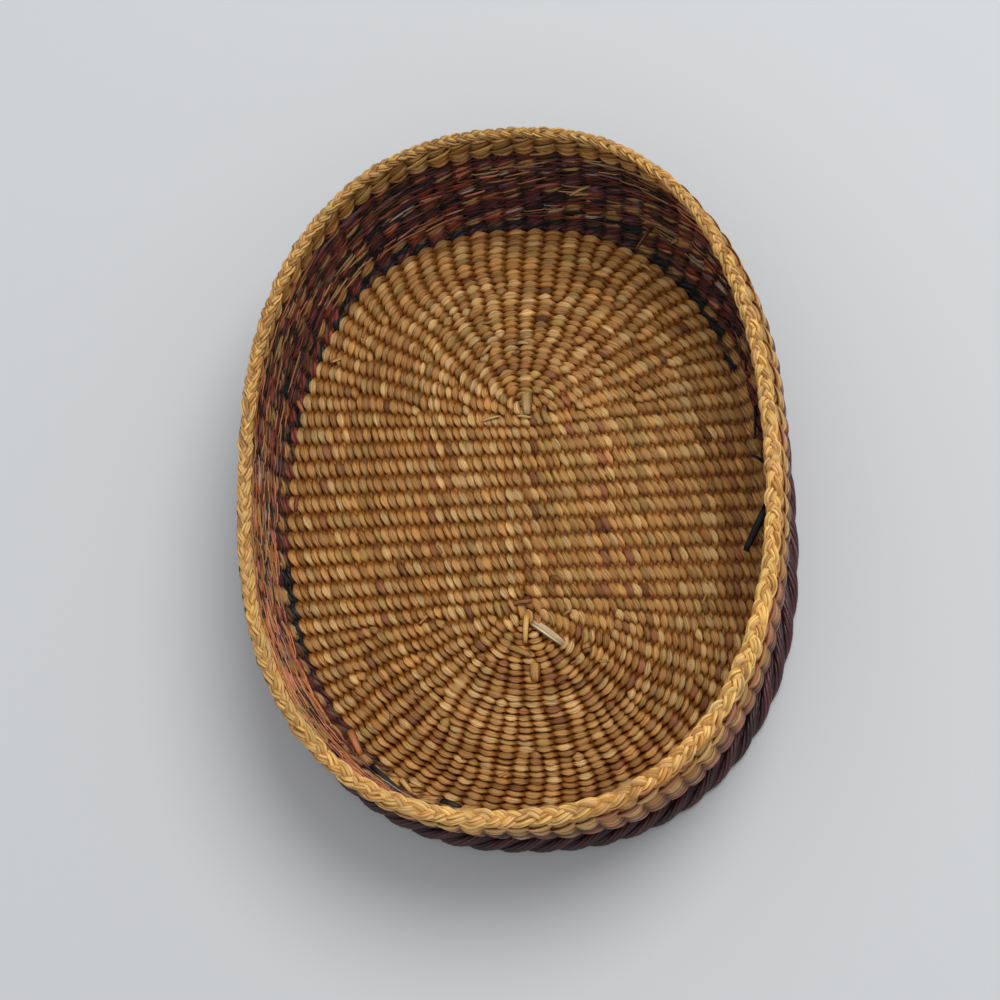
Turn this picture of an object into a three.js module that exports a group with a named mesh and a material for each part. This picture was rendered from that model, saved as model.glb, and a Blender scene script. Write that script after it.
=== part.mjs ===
// Oval twined grass basket, a low open tray that stands on a rope ring.
// Millimetres, +Z up. The origin is under the centre of the base. The long axis is Y.
//
// How it is made: crosswise stakes run under the floor's core line and turn up at both sides, and more
// stakes fan out from the two ends of that line. Rounds of twining are worked over the stakes, first
// flat as the floor, then round the bend and up the wall. Each round has two wefts, one on the inner
// side of a stake and one on the outer side, so here each run of rounds is an inner and an outer layer
// with the stakes between them. The stake tips end in a plaited rim. A laid rope is sewn round the foot.

import * as THREE from 'three';

// Outline seen from above: half sizes of the wall's inner face at the floor and at the rim
const floorInnerHalfWidth = 131;
const floorInnerHalfLength = 166;
const rimInnerHalfWidth = 130.5;
const rimInnerHalfLength = 179;
const outlinePower = 2.4;

// Belly of the wall half way up. It sways to one side: more at the near right end, less at the far left.
const bellyBulge = 6.3;
const bellySway = 3;
const swayAngle = 300;

// Heights and thicknesses
const insideDepth = 80;
const floorThickness = 6;
const wallThickness = 7;
const floorLift = 1.5;
const bendRadius = 7.5;

// Floor: its straight core line, the pitch of its rounds, and how many rounds two of its runs have
const coreHalfLength = 60;
const floorRoundPitch = 4.2;
const coreRounds = 8;
const innerRounds = 11;

// Wall runs above the bend, and the rim
const colouredRuns = 3;
const naturalBandHeight = 16;
const plaitHeight = 6.5;
const plaitWidth = 6.8;

// Foot rope
const ropeDiameter = 13;

// Stakes
const stakeCount = 92;
const crossStakes = 13;
const endStakeStep = 3;
const stakeThickness = 2.4;
const endStakeTuck = 8;
const stakeTipDepth = 3;

// Ribs of the weave: how far a weft layer swells over every second stake, against the places between
const ribHeight = 1.1;

// Fits and facets
const seatGap = 0.3;
const loopSteps = 46;
const bendSteps = 3;
const ropeSides = 8;
const outlineSamples = 2880;

// Heights that follow from the sizes above
const floorTop = floorLift + floorThickness;
const floorMiddle = floorLift + floorThickness / 2;
const bendTop = floorMiddle + bendRadius;
const rimTop = floorTop + insideDepth;
const plaitBottom = rimTop - plaitHeight;
const naturalBottom = plaitBottom - naturalBandHeight;
const stakeTip = plaitBottom + stakeTipDepth;

// Half sizes of the middle surface at the foot of the wall, at the rim, and where the floor ends
const footHalf = new THREE.Vector2(floorInnerHalfWidth, floorInnerHalfLength).addScalar(wallThickness / 2);
const rimHalf = new THREE.Vector2(rimInnerHalfWidth, rimInnerHalfLength).addScalar(plaitWidth / 2);
const floorHalf = footHalf.clone().subScalar(bendRadius);

// Rounded oval: how far a point goes across and along, as shares of the half sizes
function ovalShares(angle) {
  const across = Math.sign(Math.cos(angle)) * Math.abs(Math.cos(angle)) ** (2 / outlinePower);
  const along = Math.sign(Math.sin(angle)) * Math.abs(Math.sin(angle)) ** (2 / outlinePower);
  return new THREE.Vector2(across, along);
}

// Distance travelled round the rim, so that facets and stakes are spaced evenly on it
const travelled = [0];
for (let i = 1; i <= outlineSamples; i += 1) {
  const before = ovalShares(2 * Math.PI * (i - 1) / outlineSamples).multiply(rimHalf);
  const here = ovalShares(2 * Math.PI * i / outlineSamples).multiply(rimHalf);
  travelled.push(travelled[i - 1] + before.distanceTo(here));
}

function angleAt(share) {
  const wanted = share * travelled[outlineSamples];
  const after = Math.max(1, travelled.findIndex((distance) => distance >= wanted));
  const part = (wanted - travelled[after - 1]) / (travelled[after] - travelled[after - 1]);
  return 2 * Math.PI * (after - 1 + part) / outlineSamples;
}

const corners = Array.from({ length: loopSteps }, (_, i) => ovalShares(angleAt(i / loopSteps)));

// Place at a share of the way round, on the flat between two corners, so that stakes follow the facets
function facetShares(share) {
  const place = THREE.MathUtils.euclideanModulo(share, 1) * loopSteps;
  const corner = Math.floor(place) % loopSteps;
  return corners[corner].clone().lerp(corners[(corner + 1) % loopSteps], place - Math.floor(place));
}

// Places round a ribbed loop: in the valley at each corner, on a rib half way along each flat
const ribPlaces = Array.from({ length: 2 * loopSteps }, (_, i) => ({
  shares: facetShares(i / (2 * loopSteps)),
  swell: (i % 2 === 0 ? -1 : 1) * ribHeight / 2,
}));

// A level of the basket: half sizes at a height, and how much of the belly it has
function level(half, z, belly = 0) {
  return { half, z, belly };
}

function movedOut({ half, z, belly }, outward) {
  return level(half.clone().addScalar(outward), z, belly);
}

// Wall: the level of its middle surface at a height, leaning out and bellied between foot and rim
function wallLevel(z) {
  const share = (z - bendTop) / (rimTop - bendTop);
  return level(footHalf.clone().lerp(rimHalf, share), z, 4 * share * (1 - share));
}

const swayTurn = THREE.MathUtils.degToRad(swayAngle);
const sway = new THREE.Vector2(Math.cos(swayTurn), Math.sin(swayTurn)).multiplyScalar(bellySway);

function pointAt(shares, { half, z, belly }) {
  const outward = belly * (bellyBulge + sway.dot(shares));
  return new THREE.Vector3(shares.x * (half.x + outward), shares.y * (half.y + outward), z);
}

// Floor: a point part of the way from the core line to the bend, on the ray to a place round the wall
const coreFan = coreHalfLength / (facetShares(crossStakes / 2 / stakeCount).y * floorHalf.y);

function floorPoint(shares, part, z) {
  const edge = pointAt(shares, level(floorHalf, z));
  const coreY = THREE.MathUtils.clamp(edge.y * coreFan, -coreHalfLength, coreHalfLength);
  return new THREE.Vector3(0, coreY, z).lerp(edge, part);
}

// Closed surface from loops of points. A ring's loops close on themselves, a bar's end in two caps.
function geometryFromLoops(loops, isRing) {
  const points = loops.flat();
  const around = loops[0].length;
  const spans = isRing ? loops.length : loops.length - 1;
  const index = [];
  for (let row = 0; row < spans; row += 1) {
    const low = row * around;
    const high = ((row + 1) % loops.length) * around;
    for (let i = 0; i < around; i += 1) {
      const next = (i + 1) % around;
      index.push(low + i, low + next, high + next, low + i, high + next, high + i);
    }
  }
  if (!isRing) {
    const last = spans * around;
    for (let i = 1; i < around - 1; i += 1) {
      index.push(0, i + 1, i, last, last + i, last + i + 1);
    }
  }
  const geometry = new THREE.BufferGeometry().setFromPoints(points);
  geometry.setIndex(facingOut(points, index));
  geometry.computeVertexNormals();
  return geometry;
}

function facingOut(points, index) {
  let volume = 0;
  for (let i = 0; i < index.length; i += 3) {
    const [a, b, c] = index.slice(i, i + 3).map((corner) => points[corner]);
    volume += a.dot(b.clone().cross(c));
  }
  return volume > 0 ? index : index.reverse();
}

// A ring round the basket from the levels of its section's corners
function ovalRing(section) {
  return geometryFromLoops(section.map((here) => corners.map((shares) => pointAt(shares, here))), true);
}

// The same for a weft layer. Its near face is smooth and its far face, on the side of the sign, is ribbed.
function ribbedRing(sign, nearLevels, farLevels) {
  const smooth = nearLevels.map((here) => ribPlaces.map(({ shares }) => pointAt(shares, here)));
  const ribbed = farLevels.map((here) => ribPlaces.map(({ shares, swell }) => (
    pointAt(shares, movedOut(here, sign * swell)))));
  return geometryFromLoops([...smooth, ...ribbed], true);
}

// Layers: distances of the near and far face of each weft layer from the middle surface
const stakeRoom = stakeThickness / 2 + seatGap;
const layers = [
  { side: 'inner', sign: -1 },
  { side: 'outer', sign: 1 },
];

// Seams between the wall's runs, from the top of the bend to the underside of the plait
const wallSeams = [bendTop];
for (let run = 1; run <= colouredRuns; run += 1) {
  wallSeams.push(bendTop + (naturalBottom - bendTop) * run / colouredRuns);
}
wallSeams.push(plaitBottom);

const halfPitch = 0.5 / stakeCount;

// Half of a stake: from its start on the floor out to the bend, round it and up to its tip. Its flat
// sides lie square to its run on the floor and turn with the wall.
function stakeHalf(share, startPart) {
  const shares = facetShares(share);
  const points = [floorPoint(shares, startPart, floorMiddle)];
  for (let step = 0; step <= bendSteps; step += 1) {
    const turn = Math.PI / 2 * step / bendSteps;
    const half = footHalf.clone().addScalar(bendRadius * (Math.sin(turn) - 1));
    points.push(pointAt(shares, level(half, bendTop - bendRadius * Math.cos(turn))));
  }
  [...wallSeams.slice(1), stakeTip].forEach((z) => points.push(pointAt(shares, wallLevel(z))));
  const outward = points[1].clone().sub(points[0]);
  const acrossFloor = new THREE.Vector3(-outward.y, outward.x, 0).normalize();
  const roundWall = pointAt(facetShares(share + halfPitch), level(footHalf, 0))
    .sub(pointAt(facetShares(share - halfPitch), level(footHalf, 0))).normalize();
  return points.map((point, i) => ({ point, sideways: i === 0 ? acrossFloor : roundWall }));
}

// A flattened bundle of grass along a path, with its flat sides turned to the two weft layers
function stakeBar(path) {
  const section = [[-1, -1], [1, -1], [1, 1], [-1, 1]];
  const loops = path.map(({ point, sideways }, i) => {
    const before = path[Math.max(0, i - 1)].point;
    const after = path[Math.min(path.length - 1, i + 1)].point;
    const facing = sideways.clone().cross(after.clone().sub(before)).normalize();
    return section.map(([u, v]) => point.clone()
      .addScaledVector(sideways, u * stakeThickness / 2)
      .addScaledVector(facing, v * stakeThickness / 2));
  });
  return geometryFromLoops(loops, false);
}

// A crosswise stake is two halves that meet on the core line
function crossStake(place) {
  const right = stakeHalf(place / stakeCount, 0);
  const left = stakeHalf(0.5 - place / stakeCount, 0).reverse();
  left.forEach((step) => {
    step.sideways = step.sideways.clone().negate();
  });
  const core = left.pop();
  right[0].sideways = core.sideways.clone().add(right[0].sideways).normalize();
  return stakeBar([...left, ...right]);
}

// Floor runs: parts of the way out at which the core, inner and outer rounds end
const floorRounds = Math.round(floorHalf.x / floorRoundPitch);
const floorSeams = [coreRounds, coreRounds + innerRounds, floorRounds].map((round) => round / floorRounds);

// Heights of a floor layer's two faces. The inner layer is the upper one.
function floorFaces(sign) {
  return [floorMiddle - sign * stakeRoom, floorMiddle - sign * floorThickness / 2];
}

function floorPlate(sign) {
  const [low, high] = floorFaces(sign).sort((a, b) => a - b);
  const outline = ribPlaces.map(({ shares }) => floorPoint(shares, floorSeams[0], 0));
  const shape = new THREE.Shape(outline.map(({ x, y }) => new THREE.Vector2(x, y)));
  const geometry = new THREE.ExtrudeGeometry(shape, { depth: high - low, bevelEnabled: false });
  return geometry.translate(0, 0, low);
}

function floorRing(sign, fromPart, toPart) {
  const [near, far] = floorFaces(sign);
  const start = fromPart + seatGap / (floorHalf.y - coreHalfLength);
  const smooth = [start, toPart].map((part) => ribPlaces.map(({ shares }) => floorPoint(shares, part, near)));
  const ribbed = [toPart, start].map((part) => ribPlaces.map(({ shares, swell }) => (
    floorPoint(shares, part, far - sign * swell))));
  return geometryFromLoops([...smooth, ...ribbed], true);
}

// Bend round: turns the floor up into the wall, from the floor's thickness to the wall's
function bendRing(sign) {
  const section = [];
  function addArc(across, up, steps) {
    steps.forEach((step) => {
      const turn = Math.PI / 2 * step / bendSteps;
      const gap = step === 0 ? seatGap : 0;
      const outward = (bendRadius + sign * across) * Math.sin(turn) - bendRadius + gap;
      const z = bendTop - (bendRadius + sign * up) * Math.cos(turn);
      section.push(movedOut(level(footHalf, z), outward));
    });
  }
  const steps = Array.from({ length: bendSteps + 1 }, (_, step) => step);
  addArc(stakeRoom, stakeRoom, steps);
  addArc(wallThickness / 2, floorThickness / 2, steps.reverse());
  return ovalRing(section);
}

// A run of wall rounds between two seams
function wallRing(sign, bottom, top) {
  const low = bottom + seatGap;
  const near = sign * stakeRoom;
  const far = sign * wallThickness / 2;
  return ribbedRing(
    sign,
    [movedOut(wallLevel(top), near), movedOut(wallLevel(low), near)],
    [movedOut(wallLevel(low), far), movedOut(wallLevel(top), far)],
  );
}

// Rim plait: a crowned top, bellied sides, and a groove below that takes the stake tips. The tips lean
// in, which lifts one edge of each, so the groove has room for twice the gap above them.
function plaitRing() {
  const low = plaitBottom + seatGap;
  const shoulder = (rimTop - low) / 3;
  const middle = wallLevel((low + rimTop) / 2);
  const grooveTop = stakeTip + 2 * seatGap;
  const crown = [[2 / 5, low], [1 / 2, low + shoulder], [1 / 2, rimTop - shoulder], [1 / 5, rimTop]];
  const outside = crown.map(([part, z]) => ({ ...movedOut(middle, part * plaitWidth), z }));
  const inside = crown.map(([part, z]) => ({ ...movedOut(middle, -part * plaitWidth), z })).reverse();
  const grooveCorners = [[-1, low], [-1, grooveTop], [1, grooveTop], [1, low]];
  const groove = grooveCorners.map(([sign, z]) => movedOut(wallLevel(z), sign * stakeRoom));
  return ovalRing([...outside, ...inside, ...groove]);
}

// Foot rope: flat on its underside, and against the bend round
function ropeRing() {
  const radius = ropeDiameter / 2;
  const centreHeight = radius * Math.cos(Math.PI / ropeSides);
  const reach = bendRadius + wallThickness / 2 + seatGap + radius;
  const outward = Math.sqrt(reach ** 2 - (bendTop - centreHeight) ** 2) - bendRadius;
  const section = [];
  for (let side = 0; side < ropeSides; side += 1) {
    const turn = 2 * Math.PI * (side + 0.5) / ropeSides;
    const across = outward + radius * Math.sin(turn);
    section.push(movedOut(level(footHalf, centreHeight - radius * Math.cos(turn)), across));
  }
  return ovalRing(section);
}

// Finishes
const grassRoughness = 0.72;
const glossyRoughness = 0.5;

function finish(color, roughness) {
  return new THREE.MeshStandardMaterial({ color, roughness, metalness: 0 });
}

const finishes = {
  stake: () => finish(0xb08a4e, grassRoughness),
  floor: () => finish(0xb48a50, grassRoughness),
  bend: () => finish(0x241c20, grassRoughness),
  coloured: () => finish(0x5a2a2c, grassRoughness),
  natural: () => finish(0xc59a5c, grassRoughness),
  plait: () => finish(0xcfa768, grassRoughness),
  rope: () => finish(0x3c2230, glossyRoughness),
};

// Assembly
const basket = new THREE.Group();

function addPiece(name, geometry, material) {
  const piece = new THREE.Mesh(geometry, material);
  piece.name = name;
  basket.add(piece);
}

function numbered(name, number) {
  return `${name}_${String(number).padStart(2, '0')}`;
}

const crossReach = (crossStakes - 1) / 2;
for (let place = -crossReach; place <= crossReach; place += 1) {
  addPiece(numbered('cross_stake', place + crossReach + 1), crossStake(place), finishes.stake());
}

// Every third end stake starts at the core's end. The ones between are pushed in further out.
const endReach = Math.floor((stakeCount / 4 - crossReach - 1) / endStakeStep);
const tuckPart = endStakeTuck / (floorHalf.y - coreHalfLength);
for (const [end, middle] of [['front', 0.75], ['back', 0.25]]) {
  for (let place = -endReach; place <= endReach; place += 1) {
    const path = stakeHalf(middle + place * endStakeStep / stakeCount, floorSeams[0] - tuckPart);
    addPiece(numbered(`${end}_stake`, place + endReach + 1), stakeBar(path), finishes.stake());
  }
}

for (const { side, sign } of layers) {
  addPiece(`floor_core_${side}_weft`, floorPlate(sign), finishes.floor());
  addPiece(`floor_middle_${side}_weft`, floorRing(sign, floorSeams[0], floorSeams[1]), finishes.floor());
  addPiece(`floor_edge_${side}_weft`, floorRing(sign, floorSeams[1], floorSeams[2]), finishes.floor());
  addPiece(`bend_${side}_weft`, bendRing(sign), finishes.bend());
  for (let run = 1; run <= colouredRuns; run += 1) {
    const ring = wallRing(sign, wallSeams[run - 1], wallSeams[run]);
    addPiece(`wall_${side}_weft_${run}`, ring, finishes.coloured());
  }
  addPiece(`natural_${side}_weft`, wallRing(sign, naturalBottom, plaitBottom), finishes.natural());
}
addPiece('rim_plait', plaitRing(), finishes.plait());
addPiece('foot_rope', ropeRing(), finishes.rope());

export default basket;
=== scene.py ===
# %% [markdown]
# # A twined grass basket
# The basket is a low oval tray. Two grass wefts at a time are twisted round a fan of stakes, first flat as
# the floor, then round a tight bend and up the wall. A plait closes the rim, and a laid rope runs round the
# foot.
# The packed CAD model gives the sizes. Everything woven is made here, strand by strand, because on a basket
# the weave is the shape: a bump map on a smooth shell would show a smooth edge against the light.

# %% Load the frame
import math

import bmesh
import bpy
import numpy as np
from mathutils import Matrix, Vector


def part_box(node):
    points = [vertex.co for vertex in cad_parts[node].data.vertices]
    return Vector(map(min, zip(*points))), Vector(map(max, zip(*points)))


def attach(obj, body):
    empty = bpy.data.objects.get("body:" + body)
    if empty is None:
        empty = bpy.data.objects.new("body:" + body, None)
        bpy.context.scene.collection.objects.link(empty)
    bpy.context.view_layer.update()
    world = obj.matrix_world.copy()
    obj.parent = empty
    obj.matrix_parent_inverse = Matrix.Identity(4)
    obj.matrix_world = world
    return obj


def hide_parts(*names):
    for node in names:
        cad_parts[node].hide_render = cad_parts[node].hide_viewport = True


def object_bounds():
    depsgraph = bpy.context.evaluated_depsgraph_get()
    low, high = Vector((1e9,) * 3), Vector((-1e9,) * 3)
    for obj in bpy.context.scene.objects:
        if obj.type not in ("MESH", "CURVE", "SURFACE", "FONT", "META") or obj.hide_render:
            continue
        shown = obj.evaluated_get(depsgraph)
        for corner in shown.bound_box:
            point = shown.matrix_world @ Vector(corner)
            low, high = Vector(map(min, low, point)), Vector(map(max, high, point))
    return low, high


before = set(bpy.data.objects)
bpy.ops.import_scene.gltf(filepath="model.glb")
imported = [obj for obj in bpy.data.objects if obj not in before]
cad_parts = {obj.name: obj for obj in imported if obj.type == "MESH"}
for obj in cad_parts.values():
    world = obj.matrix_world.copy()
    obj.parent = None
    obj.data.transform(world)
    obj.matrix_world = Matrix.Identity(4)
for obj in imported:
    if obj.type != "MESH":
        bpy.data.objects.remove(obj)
cad_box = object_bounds()
MM = 0.001
corners = [round(float(value) / MM, 1) for value in (*cad_box[0], *cad_box[1])]
print("CAD nodes:", len(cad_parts), "box in mm:", corners)

# %% [markdown]
# ## Sizes
# Heights and the floor's half sizes come from the packed nodes, so the looks follow the frame. The oval is a
# superellipse: its power says how square the corners are. A box can't tell that, and it can't tell where the
# middle of the weave lies at the rim, how long the core line is or how far out the rope lies. These four are
# written again here, and so are the counts.

# %% Sizes
FLOOR_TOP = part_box("floor_core_inner_weft")[1].z
FLOOR_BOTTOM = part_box("floor_core_outer_weft")[0].z
FLOOR_MIDDLE = (FLOOR_TOP + FLOOR_BOTTOM) / 2
BEND_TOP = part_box("bend_inner_weft")[1].z
NATURAL_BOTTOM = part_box("wall_inner_weft_3")[1].z
PLAIT_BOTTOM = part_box("natural_inner_weft")[1].z
RIM_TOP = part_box("rim_plait")[1].z
STAKE_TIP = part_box("cross_stake_07")[1].z
BEND_RADIUS = BEND_TOP - FLOOR_MIDDLE

OUTLINE_POWER = 2.4
FLOOR_HALF = np.array(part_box("floor_edge_inner_weft")[1])[:2]
FOOT_HALF = FLOOR_HALF + BEND_RADIUS
RIM_HALF = np.array([133.9, 182.4]) * MM
CORE_HALF_LENGTH = 60 * MM
ROPE_REACH = 9.26 * MM

STAKES = 92
CROSS_STAKES = 13
END_STAKES = STAKES // 2 - CROSS_STAKES
FLOOR_ROUNDS = 30
CORE_ROUNDS = 8
MIDDLE_ROUNDS = 11
BEND_ROUNDS = 3
RUNS = 3
ROUNDS_IN_RUN = 4
NATURAL_ROUNDS = 4
print("floor at", round(FLOOR_TOP / MM, 2), "rim at", round(RIM_TOP / MM, 2), "foot", FOOT_HALF / MM)

# %% [markdown]
# ## Uneven by hand
# No hand-made basket is a true oval. Three closed curves say, for twelve places from the right side round by
# the back, how far the rim and the foot stand out of true and how much the wall bellies there. A few
# waves through twelve values give a smooth curve with no seam.


# %% Unevenness
def even_round(values):
    """A smooth closed curve through values at even steps round the basket, as a function of the share."""
    waves = np.fft.rfft(values) / len(values)
    waves[1:-1] *= 2
    turns = 2 * math.pi * np.arange(len(waves))

    def value_at(share):
        phase = np.asarray(share, float)[..., None] * turns
        return (waves.real * np.cos(phase) - waves.imag * np.sin(phase)).sum(axis=-1)

    return value_at


rim_shift = even_round(np.array([-0.3, -2.4, 0.4, 3.2, 0.4, 0.4, 0.8, 2.0, -0.9, -3.2, -3.4, -0.8]) * MM)
foot_shift = even_round(np.array([-3.6, -4.4, -3.0, 0.3, -0.8, -2.2, -0.4, -2.8, -4.3, 0.0, 0.6, -0.8]) * MM)
belly = even_round(np.array([8.5, 11.0, 8.0, 3.6, 3.6, 4.6, 5.0, 5.0, 4.5, 7.5, 9.0, 6.4]) * MM)
print("belly at the right, back, left and front", [round(float(belly(at / 4)) / MM, 1) for at in range(4)])

# %% [markdown]
# ## One surface for the whole basket
# Every round lies on one curved surface, half way through the weave. A place on it is given by a share of
# the way round, 0 at +X and growing towards +Y, and by how far out or up the round is. Three small
# functions cover the floor, the bend and the wall, and all of them take whole arrays of shares.


# %% The surface
def oval_shares(angle):
    cos, sin = np.cos(angle), np.sin(angle)
    power = 2 / OUTLINE_POWER
    return np.stack([np.sign(cos) * np.abs(cos) ** power, np.sign(sin) * np.abs(sin) ** power], axis=-1)


FINE_STEPS = 5760
fine_angles = np.linspace(0, 2 * math.pi, FINE_STEPS + 1)
fine_rim = oval_shares(fine_angles) * RIM_HALF
travelled = np.concatenate([[0], np.cumsum(np.linalg.norm(np.diff(fine_rim, axis=0), axis=1))])
RIM_LENGTH = travelled[-1]


def shares_at(share):
    """Across and along shares of the half sizes, evenly spaced round the rim."""
    return oval_shares(np.interp(np.mod(share, 1) * RIM_LENGTH, travelled, fine_angles))


def lift(plan, height):
    return np.concatenate([plan, np.broadcast_to(height, plan.shape[:-1])[..., None]], axis=-1)


def widened(half, amount):
    """Half sizes with the same amount added to both, for each of many shares."""
    return half + np.asarray(amount)[..., None]


CORE_SHARE = CROSS_STAKES / 2 / STAKES
CORE_FAN = CORE_HALF_LENGTH / (shares_at(CORE_SHARE)[1] * FLOOR_HALF[1])
CORE_ROUNDING = 6


def floor_place(share, part):
    """Part 0 is the core line, part 1 is where the bend starts."""
    edge = shares_at(share) * widened(FLOOR_HALF, foot_shift(share))
    core = np.zeros_like(edge)
    reach = edge[..., 1] * CORE_FAN / CORE_HALF_LENGTH
    core[..., 1] = CORE_HALF_LENGTH * reach / (1 + np.abs(reach) ** CORE_ROUNDING) ** (1 / CORE_ROUNDING)
    return lift(core + (edge - core) * part, FLOOR_MIDDLE)


def bend_place(share, part):
    turn = math.pi / 2 * part
    half = widened(FOOT_HALF, foot_shift(share) + BEND_RADIUS * (np.sin(turn) - 1))
    return lift(shares_at(share) * half, BEND_TOP - BEND_RADIUS * np.cos(turn))


def wall_half(share, height):
    part = np.asarray((height - BEND_TOP) / (RIM_TOP - BEND_TOP))
    foot = widened(FOOT_HALF, foot_shift(share))
    rim = widened(RIM_HALF, rim_shift(share))
    return widened(foot + (rim - foot) * part[..., None], 4 * belly(share) * part * (1 - part))


def wall_place(share, height):
    return lift(shares_at(share) * wall_half(share, height), height)


print("rim length", round(RIM_LENGTH / MM), "mm, stake pitch", round(RIM_LENGTH / STAKES / MM, 1), "mm")

# %% [markdown]
# ## Tubes from a template
# A strand is a tube that closes on itself, or a bar with two ends. The plain tube is made by operators: a
# circle is spun round an axis, or pushed along one. Each vertex then knows its step along the tube and its
# side round it, so the tube can be laid along any path by moving its vertices, all of them at once.


# %% Tube templates
templates = {}


def tube_template(steps, sides, closed):
    """A plain tube and, for each of its vertices, the step and the side that it belongs to."""
    if (steps, sides, closed) in templates:
        return templates[steps, sides, closed]
    bm = bmesh.new()
    if closed:
        stand = Matrix.Translation((1, 0, 0)) @ Matrix.Rotation(math.pi / 2, 4, "X")
        bmesh.ops.create_circle(bm, segments=sides, radius=0.25, matrix=stand)
        bmesh.ops.spin(bm, geom=bm.verts[:] + bm.edges[:], cent=(0, 0, 0), axis=(0, 0, 1),
                       angle=2 * math.pi, steps=steps, use_merge=True)
    else:
        bmesh.ops.create_circle(bm, segments=sides, radius=1)
        bmesh.ops.spin(bm, geom=bm.verts[:] + bm.edges[:], cent=(0, 0, 0), axis=(0, 0, 1),
                       dvec=(0, 0, 1), angle=0, steps=steps - 1)
        bmesh.ops.holes_fill(bm, edges=[edge for edge in bm.edges if edge.is_boundary], sides=sides)
    bmesh.ops.recalc_face_normals(bm, faces=bm.faces[:])
    mesh = bpy.data.meshes.new("template")
    bm.to_mesh(mesh)
    bm.free()
    at = np.zeros(len(mesh.vertices) * 3)
    mesh.vertices.foreach_get("co", at)
    x, y, z = at.reshape(-1, 3).T
    if closed:
        step = np.arctan2(y, x) / (2 * math.pi) * steps
        turn = np.arctan2(z, np.hypot(x, y) - 1)
    else:
        step = z
        turn = np.arctan2(-y, x)
    side = (turn - turn[0]) / (2 * math.pi) * sides
    row = np.rint(step).astype(int) % steps
    column = np.rint(side).astype(int) % sides
    templates[steps, sides, closed] = (mesh, row, column)
    return templates[steps, sides, closed]


mesh, _, _ = tube_template(24, 8, True)
print("closed template:", len(mesh.vertices), "vertices,", len(mesh.polygons), "faces")
mesh, _, _ = tube_template(5, 6, False)
print("open template:", len(mesh.vertices), "vertices,", len(mesh.polygons), "faces")

# %% [markdown]
# ## Laying a strand
# A strand is swept along its path with a flattened section. Each vertex also keeps three notes for the
# finishes: where it lies in the strand (for fibres that run along it), the colour of its grass, and how
# far it stands proud, which sets its painted shade. A stitch lies like a roof tile, one edge over its
# neighbour and one edge under it, so the section may tilt, and the edge that is tucked under counts as low
# and gets painted shade.


# %% Strands
# The crown is painted shade across a stitch. It is darkest at the edge that is tucked under.
CROWN_SHADE_PART = 0.35
CROWN_SHADE_GAIN = 1.25
FIBRE_STARTS = (0, 10)


def unit(vectors):
    return vectors / np.maximum(np.linalg.norm(vectors, axis=-1, keepdims=True), 1e-12)


def ahead_of(path, closed):
    if closed:
        return np.roll(path, -1, axis=0) - np.roll(path, 1, axis=0)
    return np.gradient(path, axis=0)


def fibre_start(random):
    """How far along its fibres a strand begins, so that no two strands look alike."""
    return random.uniform(*FIBRE_STARTS)


def lay_strand(path, up, half_width, half_thickness, dye, rise, closed=True, sides=8, start=0.0, tilt=0.0):
    """One strand as a dictionary of arrays with a row for each step and a column for each side."""
    along = unit(ahead_of(path, closed))
    across = unit(np.cross(along, up))
    facing = np.cross(across, along)
    turns = 2 * math.pi * np.arange(sides) / sides
    width = np.broadcast_to(half_width, len(path))[:, None] * np.cos(turns)
    thick = np.broadcast_to(half_thickness, len(path))[:, None] * np.sin(turns)
    raised = thick + np.broadcast_to(tilt, len(path))[:, None] * width
    at = path[:, None] + across[:, None] * width[..., None] + facing[:, None] * raised[..., None]
    length = start + np.concatenate([[0], np.cumsum(np.linalg.norm(np.diff(path, axis=0), axis=1))])
    grain = np.stack([np.broadcast_to(length[:, None], width.shape), width, thick], axis=-1)
    # Painted shade: the rise note is low in the folds and at the tucked-under edge, and there the finish
    # darkens the dye.
    over = 0.5 + 0.5 * np.cos(turns)
    crown = CROWN_SHADE_GAIN * (CROWN_SHADE_PART * np.abs(np.sin(turns)) + (1 - CROWN_SHADE_PART) * over)
    return {
        "at": at, "grain": grain, "closed": closed,
        "dye": np.broadcast_to(np.asarray(dye).reshape(-1, 1, 3), at.shape),
        "rise": np.asarray(rise).reshape(-1, 1) * np.broadcast_to(np.minimum(crown, 1), width.shape),
    }


ring = lay_strand(floor_place(np.arange(24) / 24, 0.5), (0, 0, 1), 2 * MM, MM, (1, 1, 1), 1.0)
print("a laid strand has steps, sides and axes:", ring["at"].shape)

# %% [markdown]
# ## From strands to one piece
# Hundreds of strands become one object. Joining objects one by one is slow, so the templates are collected
# in one mesh and then all the vertices, with their notes, are placed in a single step.


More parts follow.
